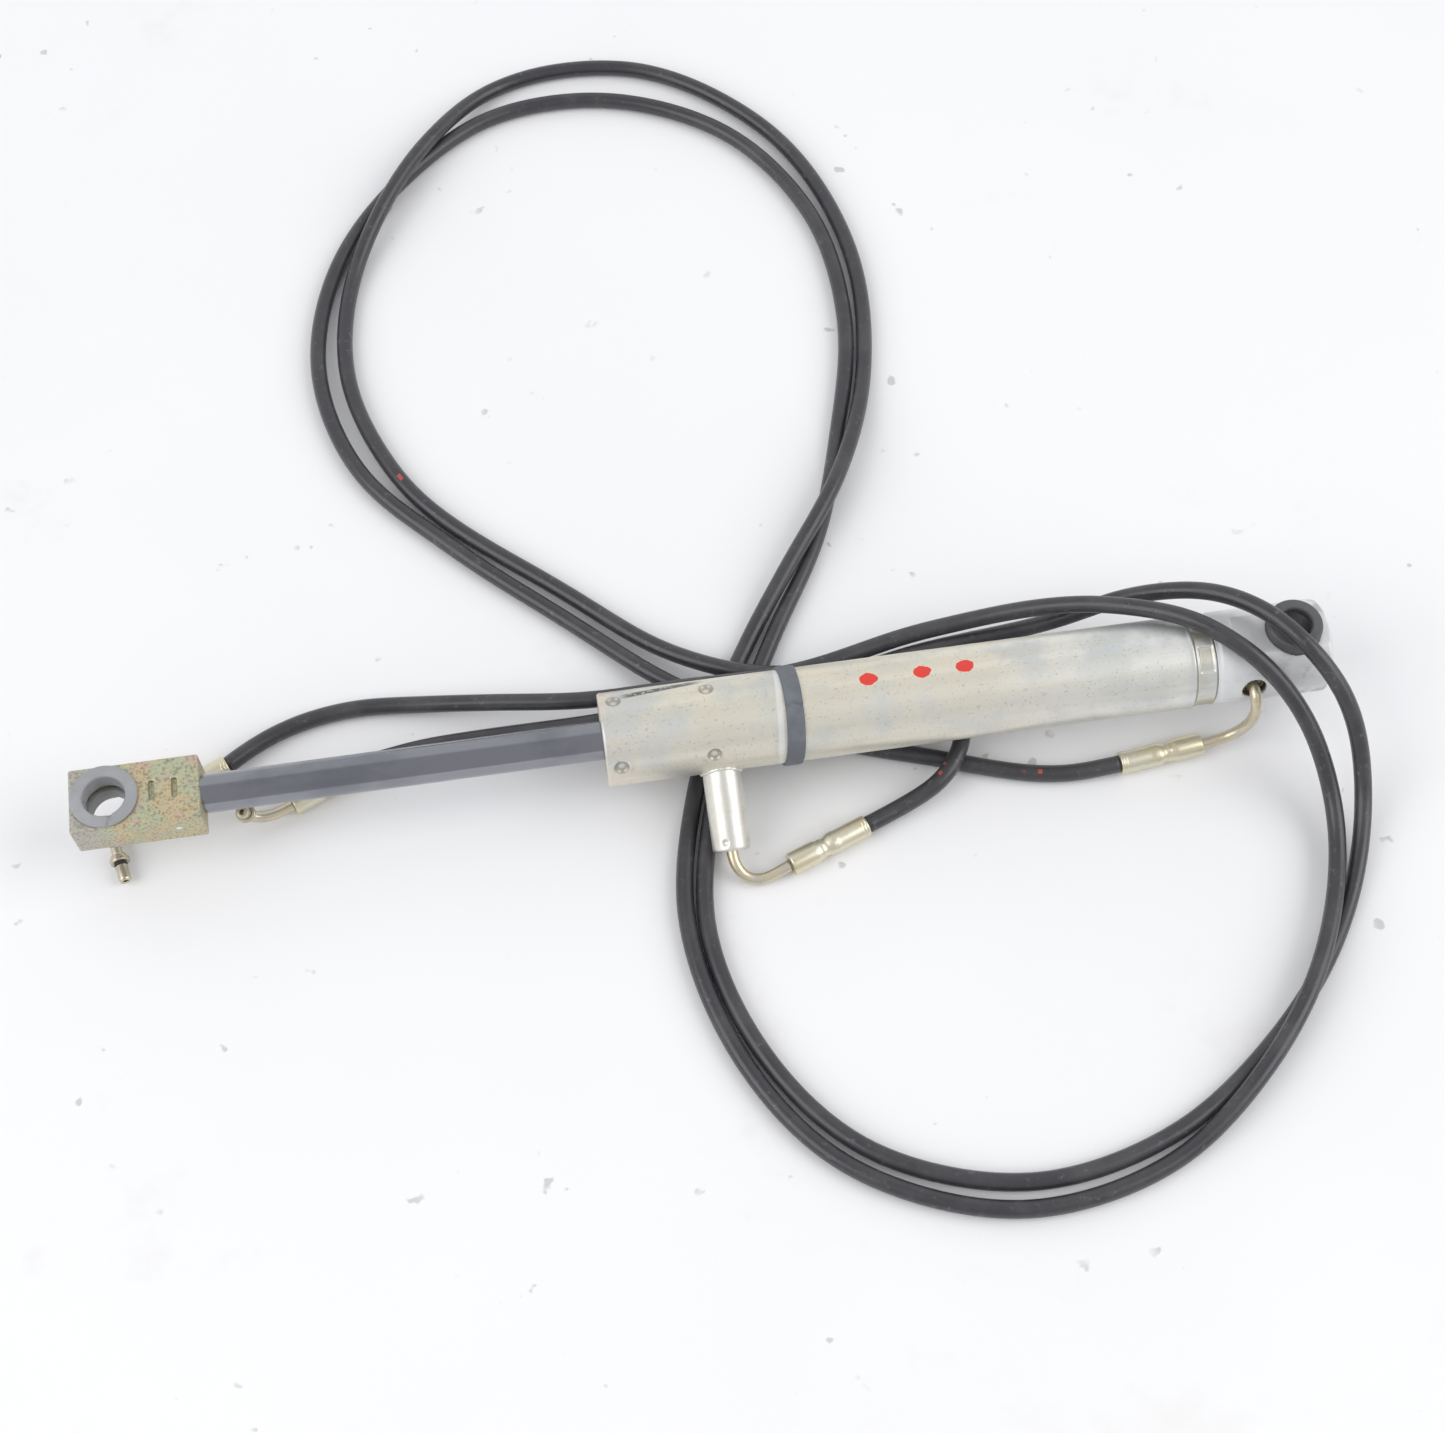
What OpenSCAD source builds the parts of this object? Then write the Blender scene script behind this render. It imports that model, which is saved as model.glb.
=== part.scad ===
// Double-acting hydraulic cylinder with two hoses fixed to it, lying on top of its own hoses.
// X runs along the cylinder towards the cap eye, Z is up, and the origin is the centre of the cap eye.

/* [Barrel] */
// Outside diameter of the barrel tube
tube_d = 34; // [33.8:0.1:34.2]
// Inside diameter of the barrel tube
tube_bore = 28; // [27.8:0.1:28]
// X of the open end of the tube, where the rod comes out
tube_left = -252.4; // [-252.6:0.1:-252.2]
// X of the end of the tube that is rolled over the cap
tube_right = -30; // [-30.1:0.1:-29.9]
// Diameter of the rolled-down skirt at the cap
skirt_d = 32.8; // [32.6:0.1:33]
// Length of the rolled-down skirt
skirt_l = 7.5; // [7:0.1:8]

/* [Rod] */
// Diameter of the chromed rod
rod_d = 14; // [13.9:0.05:14]
// Working stroke
stroke = 140; // [136:1:140]
// Diameter of the thread that carries the piston
stud_d = 10; // [9.8:0.1:10.2]

/* [Rod end] */
// Length of the rod-end block
block_l = 45.9; // [45.5:0.1:46.5]
// Width of the rod-end block
block_w = 25; // [24:0.5:26]
// Height of the rod-end block
block_h = 16; // [15.5:0.5:16]
// X of the centre of the rod-end eye
rod_eye_x = -428.9; // [-429:0.1:-428.8]
// Bore of the two flanged bushes in the rod end
rod_eye_d = 15; // [14.8:0.1:15.2]
// Flange diameter of those bushes
flange_d = 24; // [23.6:0.2:24.4]

/* [Cap] */
// X of the far end of the end cap
cap_right = 13.5; // [13:0.5:14]
// Height of the flats on the cap above its axis
cap_flat = 15; // [14.5:0.5:15.5]
// Outside diameter of the rubber bush in the cap eye
bush_d = 20; // [19:0.5:20]
// Length of the rubber bush
bush_l = 39; // [38:0.5:40]
// Bore of the steel sleeve in the cap eye
cap_eye_d = 12; // [11.8:0.1:12.2]

/* [Hoses] */
// Outside diameter of the hoses
hose_d = 6.4; // [6.3:0.1:6.4]
// Outside diameter of the steel pipes
pipe_d = 4.2; // [4:0.1:4.3]
// Largest diameter of the crimped ferrules
ferrule_d = 8.8; // [8.6:0.1:9]
// Length of the crimped ferrules
ferrule_l = 32; // [30:1:32]

/* [Hidden] */
$fn = 64;
eps = 0.01;
fit = 0.03;
floor_z = -30;
hose_z = floor_z + hose_d / 2;
tube_r = tube_d / 2;
bore_r = tube_bore / 2;
rod_r = rod_d / 2;
block_right = -395.5;
block_left = block_right - block_l;
guide_left = tube_left + 1.4;
guide_right = -204;
piston_left = -202;
piston_l = 16;
nut_l = 7;
port_x = -211.3;
sleeve_tilt = 28;
sleeve_r = 7;
sleeve_end = 45.5;
sleeve_dir = [0, -cos(sleeve_tilt), -sin(sleeve_tilt)];
cap_port_x = -16.2;
cap_port_start = 9;
cap_port_tilt = 12;
cap_l = cap_right - tube_right - 1;
dimple_rings = [-247, -213.7];
dimple_turns = [65, 155, 245, 335];

// Route of each hose, from the ferrule on the cylinder to the ferrule on its free end.
route_a = [
    [-161, -36, -25.6], [-148.5, -31.2, -25.6], [-129, -22.5, -21], [-118.7, -4, -20],
    [-127.5, 18.5, -24], [-151, 27, -26.7], [-197, 30.5, -19.8], [-222, 45, -24], [-254.5, 75, -26.8],
    [-318, 142, -26.8], [-333, 190, -26.8], [-328, 236, -26.4], [-308, 276.5, -20.2], [-290, 302, -20.4],
    [-258, 332.5, -26.5], [-200, 335.5, -26.8], [-147, 295, -26.8], [-121.5, 225, -26.8],
    [-126, 165, -26.8], [-147, 110, -20], [-173, 73, -22], [-191, 48, -26.4], [-220.5, -12, -26.8],
    [-231, -60, -26.8], [-188, -161, -26.8], [-132, -184, -26.8], [-75, -173.5, -26.6], [-41, -149, -21],
    [-14, -117, -20.2], [7.5, -55, -17.5], [-1, -30, 3.5], [-15, -13, 17], [-33, 3.4, 21], [-62, 22, 10.5],
    [-127, 33.5, -12], [-180, 23.9, -13.3], [-222, 24.4, -14.2], [-254, 25.2, -16], [-293, 32.8, -21.5],
    [-318, 37.6, -25.2], [-343, 40.2, -26.6], [-368, 35.7, -26.6], [-381, 29.6, -26.2], [-390.5, 23, -25.6]];
route_b = [
    [-64, -25.3, -25.6], [-82, -26, -26.8], [-136, -10.5, -26.8], [-167, 0, -26], [-205, 17, -20.1],
    [-225, 32, -22.5], [-252.5, 60, -26.8], [-299, 105, -26.8], [-332, 145, -26.8], [-344.5, 195, -26.8],
    [-332, 249, -26.8], [-302, 289, -26.8], [-260, 317.5, -26.8], [-215, 320, -26.8], [-165, 295.5, -26.8],
    [-135, 247, -26.8], [-129.5, 190, -26.8], [-142, 135, -26.8], [-157.5, 90, -26.8], [-183.5, 45, -26.8],
    [-216, -22, -26.8], [-224.2, -65, -26.8], [-180, -156.5, -26.8], [-128, -175, -26.8],
    [-75, -165, -26.8], [-35, -139, -26.8], [-3, -105, -26.8], [13.5, -75, -24.6], [18.5, -57, -18], [11.5, -25.5, 13],
    [0.5, -11.2, 23.2], [-9.5, 3, 23.6], [-22, 14.5, 20.5], [-50, 28, 4.5], [-80, 29, -9.5],
    [-130, 27.5, -16.8], [-180, 16.8, -14], [-216, 16.9, -14], [-255, 15.8, -16.4], [-275, 18.4, -21.5],
    [-300, 20.4, -25.6], [-320, 20.2, -26.8],
    [-338.5, 16.5, -25.6]];
// Routes of the four steel pipes, from the ferrule outwards.
route_pipe_a = [
    [-191.2, -47.5, -25.6], [-195.5, -49.1, -26.2], [-202, -50.8, -27.4], [-208, -49, -26.3],
    [-210.8, -44.8, -23.7], [-211.3, -40.2, -21.4], [-211.3, -36.7, -19.5]];
route_pipe_b = [
    [-32, -21.7, -25.6], [-27, -21.3, -25.2], [-20.5, -21, -22.8], [-15.8, -20.8, -16.5], [-14.8, -20.9, -9],
    [-15.4, -21.1, -3], [-16, -21.1, 0.1], [-16.2, -20.5, 2.1], [-16.2, -18.9, 3.4], [-16.2, -16.8, 3.6],
    [-16.2, -11.3, 2.4]];
route_pipe_1 = [
    [-419.8, 10.1, -25.6], [-424, 8.2, -25.8], [-429.8, 4.2, -26.1], [-432.8, -1.4, -26.3], [-431.8, -7.2, -26.3]];
route_pipe_2 = [
    [-367.4, 3.5, -25.6], [-372.5, 1.4, -25.8], [-378, 0.1, -25.7], [-382.4, 0.4, -24.2], [-384, 0.4, -21]];

// --- curves and swept tubes ---
function span(p, i) = norm(p[i + 1] - p[i]);
function chord(p, i) = (p[i + 1] - p[i]) / span(p, i);
function inner_slope(p, i) =
    (chord(p, i - 1) * span(p, i) + chord(p, i) * span(p, i - 1)) / (span(p, i - 1) + span(p, i));
function slope(p, i) =
    i == 0 ? (3 * chord(p, 0) - inner_slope(p, 1)) / 2
    : i == len(p) - 1 ? (3 * chord(p, i - 1) - inner_slope(p, i - 1)) / 2
    : inner_slope(p, i);
function on_curve(p, i, t) =
    (2 * t ^ 3 - 3 * t ^ 2 + 1) * p[i] + (t ^ 3 - 2 * t ^ 2 + t) * span(p, i) * slope(p, i)
    + (3 * t ^ 2 - 2 * t ^ 3) * p[i + 1] + (t ^ 3 - t ^ 2) * span(p, i) * slope(p, i + 1);
function lifted(q, low) = [q.x, q.y, max(q.z, low)];
function turned(p, i) = acos(min(1, unit(slope(p, i)) * unit(slope(p, i + 1))));
function curve(p, spacing, low) = [
    for (i = [0 : len(p) - 2])
        let (n = max(1, round(span(p, i) * (turned(p, i) > 16 ? 2 : 1) / spacing)))
            for (j = [0 : n - 1]) lifted(on_curve(p, i, j / n), low),
    p[len(p) - 1]];
function unit(v) = v / norm(v);
function heading(c, i) = unit(c[min(i + 1, len(c) - 1)] - c[max(i - 1, 0)]);
function ring(c, i, r, sides, aside) =
    let (t = heading(c, i), s = unit(cross(t, aside)), u = cross(s, t))
        [for (k = [0 : sides - 1]) c[i] + r * (cos(360 * k / sides) * s + sin(360 * k / sides) * u)];

// A round tube swept along the points c; aside is any direction that the tube never runs along.
module sweep(c, r, sides, aside) {
    n = len(c);
    points = [for (i = [0 : n - 1]) each ring(c, i, r, sides, aside)];
    walls = [for (i = [0 : n - 2]) for (k = [0 : sides - 1])
        let (a = i * sides + k, b = i * sides + (k + 1) % sides)
            each [[a, b, b + sides], [a, b + sides, a + sides]]];
    ends = [[for (k = [sides - 1 : -1 : 0]) k], [for (k = [0 : sides - 1]) (n - 1) * sides + k]];
    polyhedron(points, concat(walls, ends), convexity = 10);
}

// Turns +Z to the direction v and moves the origin to p.
module aim(p, v) {
    translate(p) rotate([0, acos(v.z / norm(v)), atan2(v.y, v.x)]) children();
}

// A bar along X from x0 to x1.
module bar(x0, x1, r) {
    translate([x0, 0, 0]) rotate([0, 90, 0]) cylinder(r = r, h = x1 - x0);
}

// A ring along X between two radii.
module collar(x0, x1, r_out, r_in) {
    difference() {
        bar(x0, x1, r_out);
        bar(x0 - 1, x1 + 1, r_in);
    }
}

// An O-ring around X with its cord centred at radius r.
module x_ring(x, r, cord) {
    translate([x, 0, 0]) rotate([0, 90, 0]) o_ring(r, cord);
}

module o_ring(r, cord) {
    rotate_extrude() translate([r, 0]) circle(r = cord / 2, $fn = 32);
}

// --- barrel ---
module dimples() {
    for (x = dimple_rings, turn = dimple_turns)
        translate([x, 0, 0]) rotate([turn, 0, 0]) translate([0, tube_r + 4.1, 0]) sphere(r = 5.2, $fn = 32);
}

module barrel_tube() {
    color([0.78, 0.76, 0.68]) difference() {
        union() {
            bar(tube_left, tube_right - skirt_l, tube_r);
            bar(tube_right - skirt_l - 1, tube_right, skirt_d / 2);
        }
        bar(tube_left - 1, tube_right + 1, bore_r);
        dimples();
        aim([port_x, 0, 0], sleeve_dir) cylinder(r = 2.6, h = 30);
        for (turn = [117, 237, 357])
            translate([tube_right - 3.6, 0, 0]) rotate([turn, 0, 0]) translate([0, tube_r, 0])
                cube([5.4, 3.2, 9.6], center = true);
    }
}

module rod_guide() {
    color([0.72, 0.73, 0.74]) difference() {
        bar(guide_left, guide_right, bore_r - eps);
        bar(guide_left - 1, guide_right + 1, rod_r + fit);
        bar(guide_left - 1, guide_left + 4, 9.8);
        bar(-240, -234, 10.4);
        bar(-217, guide_right + 1, 9);
        difference() {
            bar(-229.4, -226.4, bore_r + 1);
            bar(-229.5, -226.3, 12.1);
        }
        for (x = dimple_rings) difference() {
            bar(x - 3.2, x + 3.2, bore_r + 1);
            bar(x - 3.3, x + 3.3, 12.6);
        }
        aim([port_x, 0, 0], sleeve_dir) cylinder(r = 2.6, h = 30);
    }
}

module guide_o_ring() {
    color([0.08, 0.08, 0.08]) x_ring(-227.9, 13.05, 1.86);
}

module rod_seal() {
    color([0.15, 0.25, 0.45]) difference() {
        collar(-239.9, -234.1, 10.38, rod_r + fit);
        collar(-235.6, -234, 9.4, 8.2);
    }
}

module rod_wiper() {
    color([0.1, 0.1, 0.1]) difference() {
        union() {
            collar(guide_left + 0.4, guide_left + 3.98, 9.78, rod_r + fit);
            collar(guide_left - 0.6, guide_left + 0.5, 8.4, rod_r + fit);
        }
        collar(guide_left - 1, guide_left + 1.2, 9, 8);
    }
}

module port_sleeve() {
    color([0.8, 0.79, 0.72]) difference() {
        aim([port_x, 0, 0], sleeve_dir) cylinder(r = sleeve_r, h = sleeve_end);
        bar(port_x - 20, port_x + 20, tube_r + eps);
        aim([port_x, 0, 0], sleeve_dir) translate([0, 0, 24]) cylinder(r = 5, h = 30);
        aim([port_x, 0, 0], sleeve_dir) cylinder(r = 2.6, h = 30);
        aim([port_x, 0, 0], sleeve_dir) for (turn = [20, 110, 200, 290])
            rotate([0, 0, turn]) translate([sleeve_r + 1.3, 0, sleeve_end - 3.2]) sphere(r = 2.2, $fn = 32);
    }
}

module sleeve_weld() {
    color([0.66, 0.66, 0.62]) difference() {
        aim([port_x, 0, 0], sleeve_dir) cylinder(r1 = sleeve_r + 1.7, r2 = sleeve_r + 0.5, h = 19.2);
        bar(port_x - 20, port_x + 20, tube_r + eps);
        aim([port_x, 0, 0], sleeve_dir) cylinder(r = sleeve_r + eps, h = 30);
    }
}

module sleeve_plug() {
    color([0.75, 0.66, 0.45]) aim([port_x, 0, 0], sleeve_dir) difference() {
        translate([0, 0, 24.02]) cylinder(r = 4.97, h = sleeve_end - 24.5);
        translate([0, 0, 20]) cylinder(r = 1.4, h = 40);
        translate([0, 0, sleeve_end - 4.01]) cylinder(r = pipe_d / 2 + eps, h = 10);
        translate([0, 0, 30]) difference() {
            cylinder(r = 6, h = 2.4);
            cylinder(r = 3.5, h = 2.4);
        }
    }
}

module sleeve_plug_o_ring() {
    color([0.08, 0.08, 0.08]) aim([port_x, 0, 0], sleeve_dir) translate([0, 0, 31.2]) o_ring(4.22, 1.42);
}

// Moves to the axis of the port in the cap, with +Z pointing out of the port.
module cap_port() {
    translate([cap_port_x, 0, 0]) rotate([90 - cap_port_tilt, 0, 0]) children();
}

module end_cap() {
    color([0.74, 0.75, 0.76]) difference() {
        union() {
            bar(-44, tube_right + 2, bore_r - eps);
            bar(tube_right + 0.02, tube_right + 2.4, skirt_d / 2);
            intersection() {
                translate([tube_right + 1, 0, 0]) rotate([0, 90, 0]) rotate_extrude() polygon([
                    [0, 0], [tube_r - 0.6, 0], [tube_r, 1.2], [tube_r, cap_l - 1.8], [tube_r - 2.6, cap_l], [0, cap_l]]);
                union() {
                    translate([-60, -tube_r, -cap_flat]) cube([120, tube_d, 2 * cap_flat]);
                    bar(tube_right, tube_right + 7.8, tube_r);
                }
            }
        }
        translate([0, 0, -30]) cylinder(r = bush_d / 2 + eps, h = 60);
        bar(-45, -37, 9.5);
        bar(-38, cap_port_x + 0.5, 1.2);
        cap_port() translate([0, 0, cap_port_start]) cylinder(r = 4.5, h = 20);
        cap_port() translate([0, 0, -1.6]) cylinder(r = 1.5, h = 20);
        difference() {
            bar(-41.6, -39.2, bore_r + 1);
            bar(-41.7, -39.1, 12.2);
        }
        cap_port() translate([0, 0, 13.5]) cylinder(r = 4.9, h = 1.05);
    }
}

module cap_o_ring() {
    color([0.08, 0.08, 0.08]) x_ring(-40.4, 13.1, 1.76);
}

module cap_bush() {
    color([0.16, 0.16, 0.17]) difference() {
        translate([0, 0, -bush_l / 2]) cylinder(r = bush_d / 2 - 0.02, h = bush_l);
        translate([0, 0, -bush_l]) cylinder(r = cap_eye_d / 2, h = 2 * bush_l);
        translate([0, 0, 3 - bush_l / 2]) cylinder(r = 7.2, h = bush_l - 6);
    }
}

module cap_bush_sleeve() {
    color([0.6, 0.6, 0.6]) difference() {
        translate([0, 0, 3.02 - bush_l / 2]) cylinder(r = 7.18, h = bush_l - 6.04);
        translate([0, 0, -bush_l]) cylinder(r = cap_eye_d / 2, h = 2 * bush_l);
    }
}

module cap_plug() {
    color([0.75, 0.66, 0.45]) cap_port() difference() {
        translate([0, 0, cap_port_start + 0.02]) cylinder(r = 4.46, h = 4.4);
        cylinder(r = 1.4, h = 30);
        translate([0, 0, 11.5]) cylinder(r = pipe_d / 2 + eps, h = 10);
        translate([0, 0, 10]) difference() {
            cylinder(r = 6, h = 1.6);
            cylinder(r = 3.3, h = 1.6);
        }
    }
}

module cap_plug_o_ring() {
    color([0.08, 0.08, 0.08])
        cap_port() translate([0, 0, 10.8]) o_ring(3.9, 1.1);
}

module cap_clip() {
    color([0.35, 0.33, 0.3]) cap_port() translate([0, 0, 14])
        rotate([0, 0, -50]) rotate_extrude(angle = 280) translate([3.7, 0]) circle(r = 0.5, $fn = 24);
}

module rubber_band() {
    color([0.1, 0.1, 0.1]) difference() {
        union() {
            collar(-188.6, -181.2, tube_r + 1, tube_r + eps);
            intersection() {
                collar(-188.6, -181.2, tube_r + 1.7, tube_r + 0.5);
                rotate([100, 0, 0]) translate([-200, 0, -6]) cube([40, 30, 12]);
            }
        }
        translate([-192, -4.2, tube_r]) rotate([0, 0, 24]) cube([20, 0.7, 6], center = true);
    }
}

// --- hoses, ferrules and pipes ---
// A crimped ferrule along Z, with the hose at z = 0 and the pipe at the other end.
module ferrule() {
    difference() {
        rotate_extrude() polygon([
            [0, 0], [4.1, 0], [4.2, 0.4], [4.2, 12], [ferrule_d / 2, 13.2], [ferrule_d / 2, 15.4], [3.6, 17],
            [3.6, 20], [ferrule_d / 2 - 0.1, 21.6], [ferrule_d / 2 - 0.1, ferrule_l - 0.4],
            [ferrule_d / 2 - 0.5, ferrule_l], [0, ferrule_l]]);
        translate([0, 0, ferrule_l - 3]) cylinder(r = pipe_d / 2 + eps, h = 4);
    }
}

function back(c) = c[0] - c[1];

module hose_ferrule(route, toward) {
    color([0.78, 0.72, 0.55]) aim(route, toward) ferrule();
}

module hose(route, tint) {
    color(tint) sweep(curve(route, 36, hose_z), hose_d / 2, 8, [0, 0, 1]);
}

module pipe(route, aside) {
    color([0.72, 0.62, 0.42]) sweep(curve(route, 2.2, floor_z + pipe_d / 2), pipe_d / 2, 12, aside);
}

// A plug-in nipple along Z, from the collar to the open tip.
module nipple() {
    difference() {
        union() {
            cylinder(r = 2.9, h = 1.2);
            translate([0, 0, 1.19]) cylinder(r = 3.6, h = 1.8);
            cylinder(r = 2.3, h = 10);
            translate([0, 0, 9.99]) cylinder(r1 = 2.3, r2 = 1.9, h = 0.6);
        }
        translate([0, 0, -1]) cylinder(r = 1, h = 20);
        translate([0, 0, 3]) difference() {
            cylinder(r = 4, h = 1.3);
            cylinder(r = 1.6, h = 1.3);
        }
    }
}

nipple_1_at = [-431.8, -7.2, -26.3];
nipple_1_dir = [0.22, -1, -0.03];
nipple_2_at = [-384, 0.4, -21];
nipple_2_dir = [0, -0.38, 0.92];

module hose_a() { hose(route_a, [0.1, 0.1, 0.11]); }
module hose_b() { hose(route_b, [0.13, 0.13, 0.14]); }
module pipe_a() { pipe(route_pipe_a, [1, 1, 3]); }
module pipe_b() { pipe(route_pipe_b, [1, 0.3, -0.2]); }
module end_pipe_1() { pipe(route_pipe_1, [0, 0, 1]); }
module end_pipe_2() { pipe(route_pipe_2, [1, 3, 0.6]); }
module ferrule_a() { hose_ferrule(route_a[0], back([route_pipe_a[0], route_a[0]])); }
module ferrule_b() { hose_ferrule(route_b[0], back([route_pipe_b[0], route_b[0]])); }
module end_ferrule_1() { hose_ferrule(route_a[len(route_a) - 1], back([route_pipe_1[0], [-390.5, 23, -25.6]])); }
module end_ferrule_2() { hose_ferrule(route_b[len(route_b) - 1], back([route_pipe_2[0], [-338.5, 16.5, -25.6]])); }
module end_nipple_1() { color([0.7, 0.6, 0.4]) aim(nipple_1_at, nipple_1_dir) nipple(); }
module end_nipple_2() { color([0.7, 0.6, 0.4]) aim(nipple_2_at, nipple_2_dir) nipple(); }
module nipple_o_ring_1() { color([0.1, 0.1, 0.1]) aim(nipple_1_at, nipple_1_dir) translate([0, 0, 3.65]) o_ring(2.03, 0.84); }
module nipple_o_ring_2() { color([0.1, 0.1, 0.1]) aim(nipple_2_at, nipple_2_dir) translate([0, 0, 3.65]) o_ring(2.03, 0.84); }

// --- rod ---
module piston_rod() {
    color([0.45, 0.46, 0.5]) union() {
        bar(block_right - 13, block_right + eps, 5);
        bar(block_right, piston_left, rod_r);
        bar(piston_left - eps, piston_left + piston_l + nut_l, stud_d / 2);
    }
}

module piston() {
    color([0.7, 0.7, 0.72]) difference() {
        bar(piston_left, piston_left + piston_l, bore_r - 0.05);
        bar(piston_left - 1, piston_left + piston_l + 1, stud_d / 2 + eps);
        difference() {
            bar(-199.6, -195.6, bore_r + 1);
            bar(-199.7, -195.5, 11);
        }
        difference() {
            bar(-193, -188.4, bore_r + 1);
            bar(-193.1, -188.3, 12.4);
        }
        bar(-189.4, -187.5, stud_d / 2 + 1.4);
    }
}

module piston_o_ring() {
    color([0.08, 0.08, 0.08]) x_ring(-188.45, stud_d / 2 + 0.72, 1.36);
}

module piston_nut() {
    color([0.6, 0.58, 0.5]) difference() {
        translate([piston_left + piston_l + eps, 0, 0]) rotate([0, 90, 0]) cylinder(r = 8.7, h = nut_l - 1, $fn = 6);
        bar(-190, -170, stud_d / 2 + eps);
    }
}

module piston_seal() {
    color([0.1, 0.3, 0.25]) collar(-199.5, -195.7, bore_r - 0.03, 11.05);
}

module wear_ring() {
    color([0.35, 0.3, 0.2]) difference() {
        collar(-192.9, -188.5, bore_r - 0.03, 12.45);
        translate([-190.7, 0, -13]) rotate([0, 0, 20]) cube([8, 0.8, 6], center = true);
    }
}

// --- rod end ---
module chamfered(w, h, c) {
    polygon([[-w + c, -h], [w - c, -h], [w, -h + c], [w, h - c], [w - c, h], [-w + c, h], [-w, h - c], [-w, -h + c]]);
}

module block_body() {
    c = 0.7;
    intersection() {
        translate([block_left, 0, 0]) rotate([90, 0, 90])
            linear_extrude(block_l) chamfered(block_w / 2, block_h / 2, c);
        translate([(block_left + block_right) / 2, 0, -block_h / 2])
            linear_extrude(block_h) chamfered(block_l / 2, block_w / 2, c);
        translate([(block_left + block_right) / 2, block_w / 2, 0]) rotate([90, 0, 0])
            linear_extrude(block_w) chamfered(block_l / 2, block_h / 2, c);
    }
}

module rod_end_block() {
    color([0.74, 0.68, 0.48]) difference() {
        block_body();
        translate([rod_eye_x, 0, -20]) cylinder(r = 9, h = 40);
        bar(block_right - 13.5, block_right + 1, 5 + eps);
        for (x = [-412.3, -404.3])
            translate([x, 0.4, block_h / 2]) cube([2, 7.6, 3.6], center = true);
    }
}

module flanged_bush() {
    difference() {
        union() {
            translate([0, 0, 2]) cylinder(r = 8.98, h = 5);
            translate([0, 0, block_h / 2 + eps]) cylinder(r = flange_d / 2, h = 1.3);
            translate([0, 0, 6.9]) cylinder(r = 8.98, h = 1.4);
        }
        cylinder(r = rod_eye_d / 2, h = 20);
        rotate([0, 0, -82]) translate([9, 0, 8]) rotate([0, 0, 35]) cube([8, 1.4, 20], center = true);
    }
}

module rod_end_bush_top() {
    color([0.4, 0.41, 0.43]) translate([rod_eye_x, 0, 0]) flanged_bush();
}

module rod_end_bush_bottom() {
    color([0.4, 0.41, 0.43]) translate([rod_eye_x, 0, 0]) rotate([180, 0, 0]) flanged_bush();
}

barrel_tube();
rod_guide();
guide_o_ring();
rod_seal();
rod_wiper();
port_sleeve();
sleeve_weld();
sleeve_plug();
sleeve_plug_o_ring();
end_cap();
cap_o_ring();
cap_bush();
cap_bush_sleeve();
cap_plug();
cap_plug_o_ring();
cap_clip();
rubber_band();
pipe_a();
ferrule_a();
hose_a();
pipe_b();
ferrule_b();
hose_b();
end_ferrule_1();
end_pipe_1();
end_nipple_1();
nipple_o_ring_1();
end_ferrule_2();
end_pipe_2();
end_nipple_2();
nipple_o_ring_2();
piston_rod();
piston();
piston_o_ring();
piston_nut();
piston_seal();
wear_ring();
rod_end_block();
rod_end_bush_top();
rod_end_bush_bottom();
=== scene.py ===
"""Looks of a small hydraulic cylinder with two hoses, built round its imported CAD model."""
import math

import bpy
from mathutils import Matrix, Vector, noise


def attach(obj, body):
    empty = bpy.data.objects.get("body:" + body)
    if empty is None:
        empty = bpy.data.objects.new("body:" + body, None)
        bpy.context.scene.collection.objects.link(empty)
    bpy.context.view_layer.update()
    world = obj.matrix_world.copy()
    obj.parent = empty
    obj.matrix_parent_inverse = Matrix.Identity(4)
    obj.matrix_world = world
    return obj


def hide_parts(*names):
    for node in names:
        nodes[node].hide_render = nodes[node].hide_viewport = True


FLOOR = -0.030
HOSE_R = 0.0032
PIPE_R = 0.0021
TUBE_R = 0.017
TUBE_LEFT, TUBE_RIGHT = -0.2524, -0.0300
SLEEVE_TILT = math.radians(28)
SLEEVE_X = -0.2113
DIMPLE_ROWS = (-0.247, -0.2137)
DIMPLE_TURNS = (65, 155, 245, 335)
WINDOW_TURNS = (117, 237, 357)
CAP_PORT_X = -0.0162
CAP_PORT_TILT = math.radians(12)
ROD_EYE_X = -0.4289

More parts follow.
